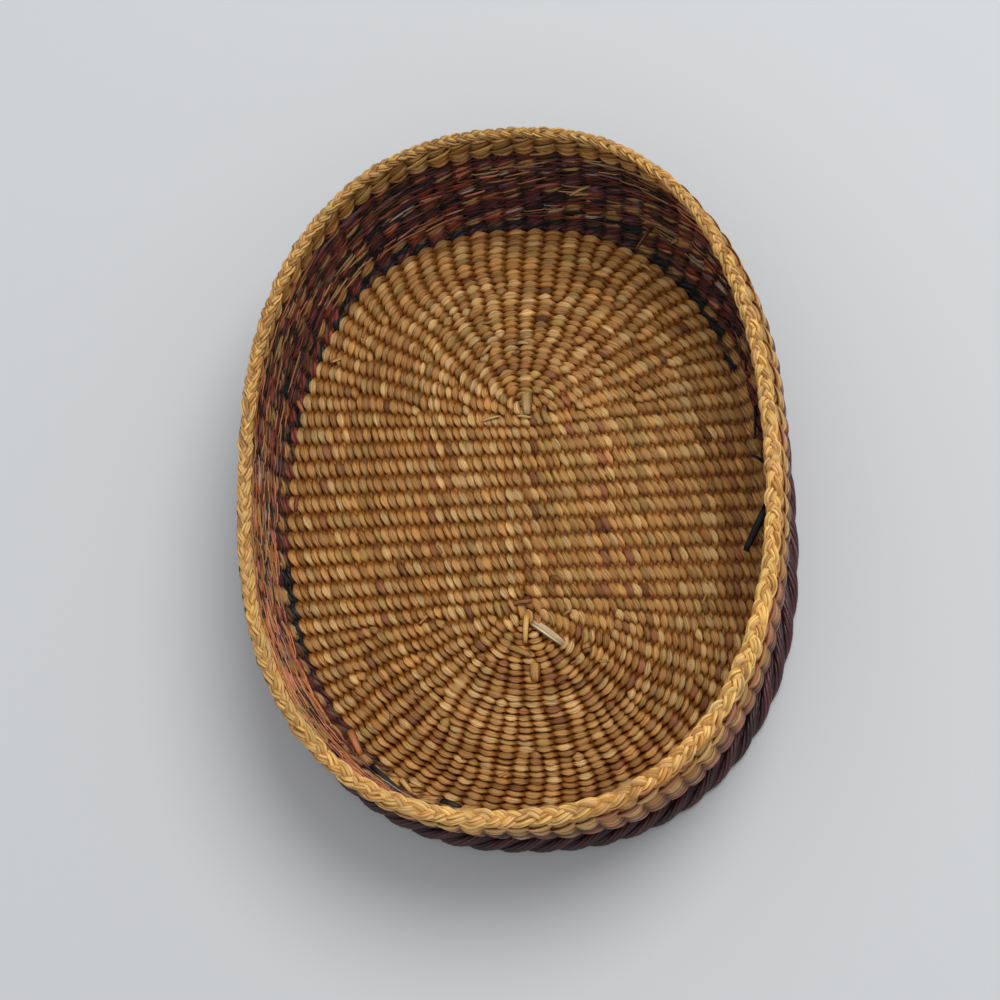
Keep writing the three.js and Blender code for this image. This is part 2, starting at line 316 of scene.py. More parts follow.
# %% Pieces
def weave_piece(name, strands, finish, nodes):
    """One object from its strands. It rides on the basket and stands for its CAD nodes."""
    bm = bmesh.new()
    columns = {"at": [], "grain": [], "dye": [], "rise": []}
    for strand in strands:
        steps, sides = strand["at"].shape[:2]
        mesh, step, side = tube_template(steps, sides, strand["closed"])
        bm.from_mesh(mesh)
        for key, column in columns.items():
            column.append(strand[key][step, side])
    mesh = bpy.data.meshes.new(name)
    bm.to_mesh(mesh)
    bm.free()
    columns = {key: np.concatenate(column).astype(np.float32) for key, column in columns.items()}
    mesh.vertices.foreach_set("co", columns["at"].ravel())
    mesh.attributes.new("grain", "FLOAT_VECTOR", "POINT").data.foreach_set("vector", columns["grain"].ravel())
    colour = np.concatenate([columns["dye"], np.ones((len(columns["dye"]), 1), np.float32)], axis=1)
    mesh.attributes.new("dye", "FLOAT_COLOR", "POINT").data.foreach_set("color", colour.ravel())
    # The rise attribute carries the painted shade that the finishes apply.
    mesh.attributes.new("rise", "FLOAT", "POINT").data.foreach_set("value", columns["rise"].ravel())
    mesh.polygons.foreach_set("use_smooth", np.ones(len(mesh.polygons), bool))
    mesh.update()
    mesh.materials.append(finish)
    piece = bpy.data.objects.new(name, mesh)
    bpy.context.scene.collection.objects.link(piece)
    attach(piece, "root")
    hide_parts(*nodes)
    mesh.calc_loop_triangles()
    print(name, len(strands), "strands,", len(mesh.loop_triangles), "triangles")


# %% [markdown]
# ## Bundles of leaves
# A weft is not one round cord but a few flat leaves side by side. A bundle lays its leaves across the width
# of the strand. Each leaf strays a little from its seat and has its own dye, which gives the stripes of the
# wall and of the plait. On the floor, where all leaves have nearly one colour, a single leaf stands for them.

# %% Bundles
LEAF_SINK = 0.9
LEAF_SHIFT = 0.3
LEAF_OVERLAP = 1.4


def between_knots(values, place):
    """Values given at the knots of a closed round, blended smoothly at places between them."""
    low = np.floor(place).astype(int)
    part = place - low
    part = part * part * (3 - 2 * part)
    return values[low % len(values)] * (1 - part) + values[(low + 1) % len(values)] * part


def lay_bundle(random, path, up, half_width, half_thickness, dyes, rise, crown, stray, knots, sides, tilt):
    """Leaves side by side on one path, one for each dye. The crown says which way the strand bulges."""
    along = unit(ahead_of(path, True))
    across = unit(np.cross(along, up))
    facing = np.cross(across, along)
    leaves = len(dyes)
    overlap = 1 if leaves == 1 else LEAF_OVERLAP
    place = np.arange(len(path)) / len(path) * knots
    strands = []
    for leaf, dye in enumerate(dyes):
        seat = (2 * leaf + 1) / leaves - 1
        strayed = seat + between_knots(random.uniform(-stray, stray, knots), place)
        shift = between_knots(random.uniform(-LEAF_SHIFT, LEAF_SHIFT, knots), place)
        sunk = half_thickness * (LEAF_SINK * seat ** 2 + shift)
        leaf_path = path + across * (half_width * strayed)[:, None] - facing * (sunk * crown)[:, None]
        strands.append(lay_strand(leaf_path, up, half_width / leaves * overlap, half_thickness, dye, rise,
                                  sides=sides, start=fibre_start(random), tilt=tilt))
    return strands


print("a quarter and half of the way from 0 to 1:", between_knots(np.array([0, 1]), np.array([0.25, 0.5])))


# %% [markdown]
# ## Shader maths in plain expressions
# A wrapped socket understands + - * so that a finish reads like a formula. Every other node comes from one
# method: its type, then its settings, then the values or links of its sockets.


# %% Shader expressions
class Wire:
    """A socket of a material's tree, with arithmetic."""

    def __init__(self, tree, socket):
        self.tree = tree
        self.socket = socket

    def node(self, kind, settings=None, output=0, **inputs):
        made = self.tree.nodes.new("ShaderNode" + kind)
        for key, value in (settings or {}).items():
            setattr(made, key, value)
        for key, value in inputs.items():
            plug(self.tree, made.inputs[int(key[1:]) if key[1:].isdigit() else key.replace("_", " ")], value)
        return Wire(self.tree, made.outputs[output])

    def maths(self, operation, first, second):
        return self.node("Math", {"operation": operation}, i0=first, i1=second)

    def __add__(self, other):
        return self.maths("ADD", self, other)

    __radd__ = __add__

    def __mul__(self, other):
        return self.maths("MULTIPLY", self, other)

    __rmul__ = __mul__

    def __rsub__(self, other):
        return self.maths("SUBTRACT", other, self)


def plug(tree, socket, value):
    if isinstance(value, Wire):
        tree.links.new(value.socket, socket)
    else:
        socket.default_value = value


print("a socket is wrapped with", [name for name in vars(Wire) if not name.startswith("__")])

# %% [markdown]
# ## The grass finish
# Dried elephant grass is a flat, slightly glossy leaf. Its fibres run along the strand as fine light and dark
# lines, and the tone drifts from stitch to stitch. Where a strand dives between stakes it is painted dark and
# warm, as painted shade. The fibres are noise that is stretched along the strand, and the same noise lifts
# the surface a little. Slow noise in the whole basket's space makes some places warmer than others.

# %% Grass finish
FIBRES_ACROSS = 1300
FIBRES_ALONG = 40
FIBRE_DETAIL = {"Scale": 1.0, "Detail": 3.0, "Roughness": 0.6}
TONE_ALONG = 90
TONE_ACROSS = 160
TONE_LOW = 0.7
TONE_SPAN = 0.6
NOISE_SPAN = {"From_Min": 0.3, "From_Max": 0.7}
FOLD_SHADE_SPAN = {"From_Min": 0.1, "From_Max": 0.75}
PATCHES = 45.0
PATCH_WARM = (1.06, 1.0, 0.9)
PATCH_COOL = (0.94, 0.98, 0.94)
GLOSS_SPAN = 0.2
BUMP_STRENGTH = 0.8


def grass_finish(name, roughness, fold_shade_colour, streak, bump_height, gloss=0.3):
    """Colour from the strand's dye, streaked by its fibres and darkened in its folds by painted shade."""
    material = bpy.data.materials.new(name)
    material.use_nodes = True
    tree = material.node_tree
    shader = tree.nodes["Principled BSDF"]
    start = Wire(tree, None)

    def mixed(operation, first, **inputs):
        return start.node("VectorMath", {"operation": operation}, i0=first, **inputs)

    grain = start.node("Attribute", {"attribute_name": "grain"}, output="Vector")
    dye = start.node("Attribute", {"attribute_name": "dye"}, output="Color")
    rise = start.node("Attribute", {"attribute_name": "rise"}, output="Fac")
    fine = mixed("MULTIPLY", grain, i1=(FIBRES_ALONG, FIBRES_ACROSS, FIBRES_ACROSS))
    noise = start.node("TexNoise", Vector=fine, **FIBRE_DETAIL)
    fibres = start.node("MapRange", Value=noise, **NOISE_SPAN)
    coarse = mixed("MULTIPLY", grain, i1=(TONE_ALONG, TONE_ACROSS, TONE_ACROSS))
    tone = start.node("TexNoise", Vector=coarse, Scale=1.0, Detail=2.0)
    # Painted shade: where the rise note is low, the dye is darkened towards the fold shade colour.
    fold = start.node("MapRange", {"interpolation_type": "SMOOTHSTEP"}, Value=rise, **FOLD_SHADE_SPAN)
    shade = mixed("MULTIPLY_ADD", fold, i1=tuple(1 - part for part in fold_shade_colour), i2=fold_shade_colour)
    light = (1 - streak / 2 + streak * fibres) * (TONE_LOW + TONE_SPAN * tone)
    place = start.node("TexCoord", output="Object")
    patch = start.node("TexNoise", Vector=place, Scale=PATCHES, Detail=2.0)
    spread = start.node("MapRange", Value=patch, **NOISE_SPAN)
    change = tuple(warm - cool for warm, cool in zip(PATCH_WARM, PATCH_COOL))
    hue = mixed("MULTIPLY_ADD", spread, i1=change, i2=PATCH_COOL)
    lit = mixed("SCALE", mixed("MULTIPLY", dye, i1=hue), Scale=light)
    base = mixed("MULTIPLY", lit, i1=shade)
    tree.links.new(base.socket, shader.inputs["Base Color"])
    tree.links.new((roughness + GLOSS_SPAN / 2 - GLOSS_SPAN * fibres).socket, shader.inputs["Roughness"])
    bump = start.node("Bump", Height=fibres, Distance=bump_height, Strength=BUMP_STRENGTH)
    tree.links.new(bump.socket, shader.inputs["Normal"])
    shader.inputs["Specular IOR Level"].default_value = gloss
    print("finish", name, "has", len(tree.nodes), "nodes")
    return material


natural_grass = grass_finish("natural_grass", roughness=0.4, fold_shade_colour=(0.5, 0.32, 0.1), streak=1.0,
                             bump_height=0.45 * MM)
rim_grass = grass_finish("rim_grass", roughness=0.5, fold_shade_colour=(0.6, 0.43, 0.22), streak=0.9,
                         bump_height=0.35 * MM)
dyed_grass = grass_finish("dyed_grass", roughness=0.45, fold_shade_colour=(0.42, 0.34, 0.32), streak=0.7,
                          bump_height=0.2 * MM)
plum_rope = grass_finish("plum_rope", roughness=0.36, fold_shade_colour=(0.24, 0.16, 0.18), streak=0.8,
                         bump_height=0.2 * MM, gloss=0.5)
stake_grass = grass_finish("stake_grass", roughness=0.6, fold_shade_colour=(0.5, 0.4, 0.3), streak=0.5,
                           bump_height=0.2 * MM)

# %% [markdown]
# ## Colours of the grass
# The weaver lays in a new leaf every few stitches, so a strand changes colour in short lengths. A seeded
# random choice makes each length. Weights say which dyes are common where on the basket.


# %% Colours
def colour(red, green, blue):
    """A colour as it is seen, from 0 to 255, turned into the linear values that light uses."""
    seen = np.array([red, green, blue]) / 255
    return np.where(seen <= 0.04045, seen / 12.92, ((seen + 0.055) / 1.055) ** 2.4)


GOLD = colour(186, 136, 78)
PALE = colour(204, 162, 106)
BROWN = colour(164, 114, 58)
OLIVE = colour(174, 134, 74)
RUSSET = colour(146, 92, 56)
PLUM = colour(88, 44, 44)
ROPE_PLUM = colour(86, 42, 48)
DARK_PLUM = colour(66, 32, 30)
INK = colour(32, 30, 32)
BRICK = colour(132, 60, 46)
ORANGE = colour(180, 112, 68)
TAN = colour(168, 130, 84)
PINK = colour(190, 118, 94)
MAUVE = colour(124, 84, 88)
UMBER = colour(98, 64, 42)
STRAW = colour(214, 172, 102)
ASH = colour(176, 162, 152)
CREAM = colour(216, 192, 158)
STITCH_SHADES = (0.95, 1.05)


def picked(random, dyes, weights):
    """One of the dyes, by weight."""
    chances = np.array(weights, float)
    return dyes[random.choice(len(dyes), p=chances / chances.sum())]


def coloured_lengths(random, count, shortest, longest, dyes, weights, spread=0.12):
    """A colour for each stitch of a strand, in lengths of one dye. Weights may depend on the share."""
    made = np.zeros((count, 3))
    start = 0
    while start < count:
        length = int(random.integers(shortest, longest + 1))
        dye = picked(random, dyes, weights(start / count) if callable(weights) else weights)
        made[start:start + length] = dye * random.uniform(1 - spread, 1 + spread)
        start += length
    return made * random.uniform(*STITCH_SHADES, (count, 1))


def near(share, centre, spread):
    """1 at a share of the way round, falling evenly to 0 at the spread on both sides."""
    gap = abs((share - centre + 0.5) % 1 - 0.5)
    return max(0.0, 1 - gap / spread)


print("gold in linear light:", GOLD.round(3), "plum:", PLUM.round(3))

# %% [markdown]
# ## One round of twining
# Two wefts twist round each other once for every two stakes. Seen along the round each is a helix: its
# distance from the middle is a cosine along the surface and a sine through it. The stitch that shows is
# the half turn over a stake, slanted because the strand comes from the outer side and leaves on the inner.
# It is widest on the stake and narrow in the fold, which gives the pointed grain look. Where it leans less it
# is wider, so that the rounds still meet. Towards the fold each stitch is painted darker, as painted shade. A
# flat band fills the middle of each round, as the packed leaves do, so that no light falls through, and it is
# painted dark, as painted shade. Each round starts in a fold, where its seam doesn't show.

# %% Twining
TWIST_DEPTH = 2.05 * MM
DEPTH_POWER = 0.65
FOLD_SHADE_POWER = 1.3
TOP_THICKNESS = 0.85 * MM
FOLD_THICKNESS = 1.2 * MM
TOP_WIDTH = 0.66
FOLD_WIDTH = 0.3
WIDTH_POWER = 1.5
FLAT_LEAN = 0.35
FLAT_GAIN = 0.45
SAG_POWER = 1.5
SWELLS = (0.8, 1.12)
LEANS = (0.75, 1.2)
STITCH_STEPS = 6
PACKED_THICKNESS = 1.1 * MM
PACKED_RISE = 0.36
PACKED_SKIP = 2


def twine_round(random, place_at, at, pitch, stakes, dyes, reach=0.4, bow=(0.0, 0.0),
                depth=(TWIST_DEPTH, TWIST_DEPTH), wander=0.1, stray=0.1, tilt=0.25, sides=6):
    """The leaves of two wefts round all the stakes. place_at(share, at) gives the surface, pitch is the
    step in at, and reach is how far a strand swings to each side, as a part of the pitch. Of the pairs, the
    first value is for the inner side and the second for the outer: the bow is how far a stitch sags over
    its stake, the depth how far it stands off the middle."""
    count = len(stakes)
    place = 0.5 + np.arange(count * STITCH_STEPS) / STITCH_STEPS
    share = np.interp(place, np.arange(count + 2), np.append(stakes, stakes[:2] + 1))
    middle = place_at(share, at)
    out = place_at(share, at + pitch / 2) - place_at(share, at - pitch / 2)
    along = unit(ahead_of(middle, True))
    out = out - along * np.sum(out * along, axis=-1, keepdims=True)
    row = np.linalg.norm(out, axis=-1)
    out = unit(out)
    up = np.cross(out, along)
    drift = between_knots(random.uniform(-wander, wander, count), place)
    swell = between_knots(random.uniform(*SWELLS, count), place)
    reach = reach(share) if callable(reach) else reach
    lean = reach * between_knots(random.uniform(*LEANS, count), place)
    tip = between_knots(random.uniform(0, 2 * tilt, count), place)
    first = random.integers(0, 2)
    stitch = np.rint(place).astype(int) % count
    wefts = []
    for weft in range(2):
        turn = math.pi * (place + 0.5 + weft + first)
        proud = np.abs(np.sin(turn))
        inner = np.sin(turn) > 0
        sag = np.where(inner, *bow) * np.abs(np.cos(math.pi * place)) ** SAG_POWER
        stand = np.where(inner, *depth) * np.sign(np.sin(turn)) * proud ** DEPTH_POWER
        path = middle + out * (row * (lean * np.cos(turn) + drift) - sag)[:, None] + up * stand[:, None]
        full = TOP_WIDTH + FLAT_GAIN * np.maximum(0, FLAT_LEAN - np.abs(lean))
        width = row * swell * (FOLD_WIDTH + (full - FOLD_WIDTH) * proud ** WIDTH_POWER)
        thickness = FOLD_THICKNESS + (TOP_THICKNESS - FOLD_THICKNESS) * proud
        leaf_dyes = [dye[stitch] for dye in dyes[weft]]
        # Painted shade: the rise falls off towards the fold, so the stitch is painted darker there.
        wefts.append(lay_bundle(random, path, up, width, thickness, leaf_dyes, proud ** FOLD_SHADE_POWER,
                                np.sin(turn), stray, count, sides, tip))
    # The packed band is painted dark, as painted shade between the stitches.
    packed = slice(None, None, PACKED_SKIP)
    band = lay_strand(middle[packed], up[packed], row[packed] / 2, PACKED_THICKNESS,
                      dyes[0][0][stitch[packed]], PACKED_RISE, sides=4)
    wefts[0].append(band)
    return wefts


def weft_pieces(name, rounds, extras, finish, nodes):
    """Two pieces, one for each weft of many rounds. Loose bits go with the first."""
    for number, node in enumerate(nodes):
        strands = [leaf for wefts in rounds for leaf in wefts[number]]
        loose = extras if number == 0 else []
        weave_piece(f"{name}_weft_{number + 1}", strands + loose, finish, [node])


print("a stitch stands", round(TWIST_DEPTH / MM, 2), "mm off the middle of the weave")

# %% [markdown]
# ## Where the stakes stand
# Thirteen stakes run right across, so each side has thirteen. At the two ends they fan out, and the weaver
# pushes new ones in as the gaps widen. Row by row, a new stake goes into the widest gap and its
# neighbours then spread until the gaps are even again. That bends the ridges a little, as real ones do. In
# the last few rounds all the stakes are in, and they move to their even places on the wall.

# %% Stake layout
SPREAD = 0.4
EVENING = 0.06
GAP_LUCK = (0.9, 1.1)
SETTLED_ROUND = 25
FAN_PITCH = np.array([8.0, 8.9]) * MM
FAN_STEPS = 200
CROSS_REACH = CROSS_STAKES // 2
ARC_SPAN = END_STAKES / STAKES


def fan_line(first, number):
    """One end of a floor round, between its last cross stakes: distances along it, and shares there."""
    share = first + np.linspace(CROSS_REACH / STAKES, 0.5 - CROSS_REACH / STAKES, FAN_STEPS)
    path = floor_place(share, (number + 0.5) / FLOOR_ROUNDS)
    gone = np.cumsum(np.linalg.norm(np.diff(path, axis=0), axis=1))
    return np.concatenate([[0], gone]), share


def end_fan(random, first):
    """For each floor round, the shares of one end's stakes, with their numbers."""
    places, names, rounds = [0.5], [0], []
    for number in range(FLOOR_ROUNDS):
        pitch = np.interp(number, [0, FLOOR_ROUNDS - 1], FAN_PITCH)
        wanted = min(END_STAKES, round(fan_line(0, number)[0][-1] / pitch) - 1)
        if number >= SETTLED_ROUND:
            wanted = END_STAKES
        while len(places) < wanted:
            edges = np.array([0, *places, 1])
            widest = int(np.argmax(np.diff(edges) * random.uniform(*GAP_LUCK, len(edges) - 1)))
            places.insert(widest, float(edges[widest] + edges[widest + 1]) / 2)
            names.insert(widest, len(names))
        even = (np.arange(len(places)) + 1) / (len(places) + 1)
        edges = np.array([0, *places, 1])
        between = (edges[:-2] + edges[2:]) / 2
        places = list(edges[1:-1] * (1 - SPREAD - EVENING) + between * SPREAD + even * EVENING)
        gone, share = fan_line(first, number)
        shares = np.interp(np.array(places) * gone[-1], gone, share)
        last = first + CORE_SHARE + ARC_SPAN * (np.arange(len(places)) + 0.5) / len(places)
        late = max(0, (number - SETTLED_ROUND) / (FLOOR_ROUNDS - 1 - SETTLED_ROUND))
        rounds.append((shares * (1 - late) + last * late, list(names)))
    return rounds


layout_random = np.random.default_rng(11)
back_fan = end_fan(layout_random, 0.0)
front_fan = end_fan(layout_random, 0.5)
right_shares = np.arange(-CROSS_REACH, CROSS_REACH + 1) / STAKES
left_shares = 0.5 + right_shares


def floor_stakes(number):
    """Shares of every stake in a floor round, in order, from the lowest one of the right side."""
    return np.concatenate([right_shares, back_fan[number][0], left_shares, front_fan[number][0]])


wall_stakes = np.arange(STAKES) / STAKES
print("stakes by floor round:", [len(floor_stakes(number)) for number in range(FLOOR_ROUNDS)])

# %% [markdown]
# ## Loose ends
# Where a weft runs out, its end sticks out of the weave: a pale strip at the ends of the core, a black stub
# at the right side, small folded tips on the wall. Each is a short flat blade. The small ones start in the
# weave at random, head off at an angle and lift at the tip. The larger ones are flakes with a place of their
# own, tucked in where they start.

# %% Loose ends
END_STEPS = 6
END_THICKNESS = 0.35 * MM
TIP_STAND = 1.2
TIP_LIFT_POWER = 1.6
TIP_TAPER = 0.35
TIP_HEADING = (-60, 60)
TIP_LENGTH = (3, 7)
TIP_HALF_WIDTH = (0.6, 1.4)
TIP_RISE = (0.3, 1.5)
SMALL_STEP = 0.002


def scattered_ends(random, count, place_at, lowest, highest, shares, dyes):
    """Small folded tips between two shares and two heights. Their heading is in degrees from the way round,
    out or up."""
    part = np.linspace(0, 1, END_STEPS)[:, None]
    ends = []
    for _ in range(count):
        share = np.array(random.uniform(*shares))
        at = random.uniform(lowest, highest)
        heading = math.radians(random.uniform(*TIP_HEADING))
        length = random.uniform(*TIP_LENGTH) * MM
        half_width = random.uniform(*TIP_HALF_WIDTH) * MM
        rise = random.uniform(*TIP_RISE) * MM
        dye = dyes[random.integers(len(dyes))]
        along = unit(place_at(share + SMALL_STEP, at) - place_at(share - SMALL_STEP, at))
        out = unit(place_at(share, at * (1 + SMALL_STEP)) - place_at(share, at * (1 - SMALL_STEP)))
        up = unit(np.cross(out, along))
        ahead = along * math.cos(heading) + out * math.sin(heading)
        path = place_at(share, at) + ahead * length * part
        path = path + up * (TWIST_DEPTH * TIP_STAND + rise * part ** TIP_LIFT_POWER)
        taper = half_width * (1 - TIP_TAPER * part[:, 0] ** 2)
        ends.append(lay_strand(path, up, taper, END_THICKNESS, dye, 1.0, closed=False, sides=6,
                               start=fibre_start(random)))
    return ends


FLAKE_ARCH = 0.8 * MM
FLAKE_TUCK = 2 * MM
FLAKE_TAPER = 0.3
FLAKE_TILT = 0.15


def flake(random, start, end, half_width, dye):
    """A flat leaf end from one place to another, in millimetres, tucked in where it starts."""
    part = np.linspace(0, 1, END_STEPS)
    path = np.array(start) * MM + np.outer(part, np.subtract(end, start) * MM)
    path[:, 2] += FLAKE_ARCH * np.sin(math.pi * part) - FLAKE_TUCK * (1 - part) ** 4
    width = half_width * MM * (1 - FLAKE_TAPER * part ** 3)
    return lay_strand(path, (0, 0, 1), width, END_THICKNESS, dye, 1.0, closed=False, sides=6,
                      start=fibre_start(random), tilt=FLAKE_TILT)


end_random = np.random.default_rng(17)
print("small tips are", TIP_LENGTH, "mm long")

# %% [markdown]
# ## The floor
# Thirty rounds of natural grass. They are grouped into the core, the middle and the edge, as on the frame,
# so that each group can be repaired or recoloured by itself. Each weft is one broad leaf here. The stitches
# lean most at the two sides and least at the two ends. Now and then one is russet or dark.

# %% Floor
floor_dyes = [GOLD, PALE, BROWN, OLIVE, RUSSET]
floor_weights = [5, 2.2, 3.4, 0.8, 0.25]
DARK_CHANCE = 0.012
DARK_STITCH = np.array([0.4, 0.3, 0.25])
FLOOR_DEPTH = 1.75 * MM
FLOOR_TILT = 0.42
LEAF_SHADES = (0.9, 1.2)
FLAKE_HEIGHT = 8
floor_reach = even_round(np.array([0.48, 0.44, 0.24, 0.12, 0.22, 0.32, 0.4, 0.3, 0.04, -0.1, 0.08, 0.42]))
weave_random = np.random.default_rng(5)


def split_leaves(random, dye, count):
    """The same dye for each leaf of a weft, a little lighter or darker stitch by stitch."""
    return [dye * random.uniform(*LEAF_SHADES, (len(dye), 1)) for _ in range(count)]


def floor_weave(name, first, last, extras):
    rounds = []
    for number in range(first, last):
        stakes = floor_stakes(number)
        dyes = []
        for _ in range(2):
            dye = coloured_lengths(weave_random, len(stakes), 3, 12, floor_dyes, floor_weights)
            dye[weave_random.random(len(stakes)) < DARK_CHANCE] *= DARK_STITCH
            dyes.append(split_leaves(weave_random, dye, 1))
        at = (number + 0.5) / FLOOR_ROUNDS
        rounds.append(twine_round(weave_random, floor_place, at, 1 / FLOOR_ROUNDS, stakes, dyes,
                                  reach=floor_reach, depth=(FLOOR_DEPTH, TWIST_DEPTH), tilt=FLOOR_TILT,
                                  sides=8))
    nodes = [name + "_inner_weft", name + "_outer_weft"]
    weft_pieces(name, rounds, extras, natural_grass, nodes)


def floor_flakes(bits):
    """Flakes on the floor, from their start and end in plan, their half width and their dye."""
    return [flake(end_random, (*start, FLAKE_HEIGHT), (*end, FLAKE_HEIGHT), half_width, dye)
            for start, end, half_width, dye in bits]


core_flakes = [
    ((4, 68), (4, 54), 3.0, PALE * 0.85),
    ((-22, 52), (-11, 54), 0.9, PALE),
    ((-2, 54), (6, 52), 0.9, PALE),
    ((4, -61), (20, -74), 2.8, CREAM),
    ((1, -57), (0, -73), 1.7, STRAW),
    ((-9, -74), (3, -80), 1.7, OLIVE),
    ((5, -83), (5, -94), 2.8, GOLD),
    ((14, -36), (20, -40), 1.1, RUSSET),
    ((-7, -51), (4, -50), 1.4, RUSSET),
    ((20, -59), (25, -56), 0.7, PALE),
]
middle_flakes = [
    ((-21, 89), (-15, 95), 1.3, GOLD),
    ((-1, 96), (6, 95), 1.2, PALE),
    ((15, -95), (22, -92), 1.8, RUSSET),
    ((30, -79), (35, -78), 1.4, RUSSET),
]
tip_dyes = [GOLD, BROWN, RUSSET]
floor_weave("floor_core", 0, CORE_ROUNDS, floor_flakes(core_flakes))
floor_weave("floor_middle", CORE_ROUNDS, CORE_ROUNDS + MIDDLE_ROUNDS, floor_flakes(middle_flakes)
            + scattered_ends(end_random, 8, floor_place, 0.3, 0.6, (0, 1), tip_dyes))
floor_weave("floor_edge", CORE_ROUNDS + MIDDLE_ROUNDS, FLOOR_ROUNDS,
            scattered_ends(end_random, 10, floor_place, 0.65, 0.95, (0, 1), tip_dyes))

# %% [markdown]
# ## The bend
# Three tight rounds turn the floor up into the wall. The dyed leaves start here, in black at the far end and
# in black patches at the left. At the right and the near end the first rounds are still natural.

# %% Bend
bend_dyes = [INK, PLUM, BRICK, UMBER, TAN, GOLD]
DYED_FROM = 0.08
DYED_TO = 0.66


def bend_weights(number):
    def weights(share):
        dyed = 1 if DYED_FROM < share < DYED_TO else 0.02
        far = near(share, 0.25, 0.2)
        left = near(share, 0.59, 0.16)
        return [(3 - 1.4 * left) * dyed, (1 + far + number) * dyed, (0.8 + number) * dyed,
                (1 + number) * dyed, 0.3 + 3 * left + 0.7 * number * dyed,
                0.1 + 2 * left + 4 * (1 - dyed)]
    return weights


rounds = []
for number in range(BEND_ROUNDS):
    weights = bend_weights(number)
    dyes = [split_leaves(weave_random, coloured_lengths(weave_random, STAKES, 2, 7, bend_dyes, weights), 2)
            for _ in range(2)]
    at = (number + 0.5) / BEND_ROUNDS
    rounds.append(twine_round(weave_random, bend_place, at, 1 / BEND_ROUNDS, wall_stakes, dyes,
                              depth=(FLOOR_DEPTH, TWIST_DEPTH)))
weft_pieces("bend", rounds, [], dyed_grass, ["bend_inner_weft", "bend_outer_weft"])

# %% [markdown]
# ## The dyes of the wall
# The wall is a mix of plum, black, brick, orange and tan. It is darkest at the far end, and lighter and more
# orange at the left and at the near right, so the weights of the dyes change with the share of the way round.
# The lighter, more orange mix at the left and the near right is partly the grass's own colour and partly
# painted light.


# %% Wall dyes
wall_dyes = [PLUM, INK, BRICK, ORANGE, TAN, PINK, MAUVE, UMBER, ASH]


def wall_weights(share):
    far = near(share, 0.25, 0.2)
    left = near(share, 0.59, 0.18)
    lit = near(share, 0.87, 0.25)
    # More tan, orange and pink at the left and the near right: partly the grass's own colour, partly painted
    # light.
    return [1.6 + 3.5 * far - left, 1.1 + 2.6 * far, 1.8, 0.7 + 3 * left + 2.5 * lit,
            1.6 + 4.5 * left + 2.5 * lit, 0.5 + 1.6 * left + 3.5 * lit, 0.8 + 1.5 * lit, 1.2,
            0.2 + 0.8 * left + 0.5 * lit]


print("plum at the far end and at the left:", wall_weights(0.25)[0], wall_weights(0.59)[0])

# %% [markdown]
# ## Streaks inside the wall
# Inside, the wefts are pulled tight and the torn edges of the leaves lie along them as long thin streaks. So
# single pointed leaves are laid over the inner stitches. Leaves of one bundle lie near each other, which
# makes patches of one dye.

# %% Streaks
STREAK_STEPS = 6
STREAK_LENGTH = (12, 26)
STREAK_HALF_WIDTH = (0.8, 1.8)
STREAK_THICKNESS = 0.35 * MM
STREAK_TAPER = 0.85
STREAK_RIDE = 2.1 * MM
STREAK_DIP = 0.3 * MM
STREAK_SLANT = -6
SLANT_SPREAD = 4
STREAK_SHADES = (0.75, 1.35)
PATCH_COLUMNS = 30
PATCH_LEVELS = 2
PATCH_CHANCE = 0.55
LEFT_PAINTED_LIGHT = 0.45


def streaks(random, count, low, high, shares):
    """Pointed leaves along the inner side of the wall, each a little off level. Those of one patch are
    mostly of one dye."""
    made = []
    part = np.linspace(-0.5, 0.5, STREAK_STEPS)
    outer = 2 * np.abs(part)
    patches = [[picked(random, wall_dyes, wall_weights(column / PATCH_COLUMNS)) for _ in range(PATCH_LEVELS)]
               for column in range(PATCH_COLUMNS)]
    for _ in range(count):
        middle = random.uniform(*shares)
        height = random.uniform(low, high)
        length = random.uniform(*STREAK_LENGTH) * MM
        share = middle + part * length / RIM_LENGTH
        level = height + part * length * math.tan(math.radians(random.normal(STREAK_SLANT, SLANT_SPREAD)))
        level = np.clip(level, BEND_TOP, NATURAL_BOTTOM)
        base = wall_place(share, level)
        inward = -unit(base * (1, 1, 0))
        ride = STREAK_RIDE - (STREAK_RIDE - STREAK_DIP) * outer ** 4
        width = random.uniform(*STREAK_HALF_WIDTH) * MM * (1 - STREAK_TAPER * outer ** 2)
        dye = patches[int(middle * PATCH_COLUMNS)][int((height - low) / (high - low) * PATCH_LEVELS)]
        if random.random() >= PATCH_CHANCE:
            dye = picked(random, wall_dyes, wall_weights(middle))
        # Painted light: streaks at the left are made lighter. The shades from streak to streak are the grass's
        # own.
        dye = dye * random.uniform(*STREAK_SHADES) * (1 + LEFT_PAINTED_LIGHT * near(middle, 0.6, 0.14))
        made.append(lay_strand(base + inward * ride[:, None], inward, width, STREAK_THICKNESS, dye, 1.0,
                               closed=False, sides=4, start=fibre_start(random)))
    return made


print("streaks are", STREAK_LENGTH, "mm long")

# %% [markdown]
# ## The coloured wall
# Each weft is two thin leaves. Outside, the stitches sag over each stake and make small striped pillows.
# Inside, they lie flatter, under the streaks. The black stub at the right side and a few other large flakes are
# given in millimetres, from where they leave the weave to their tips.

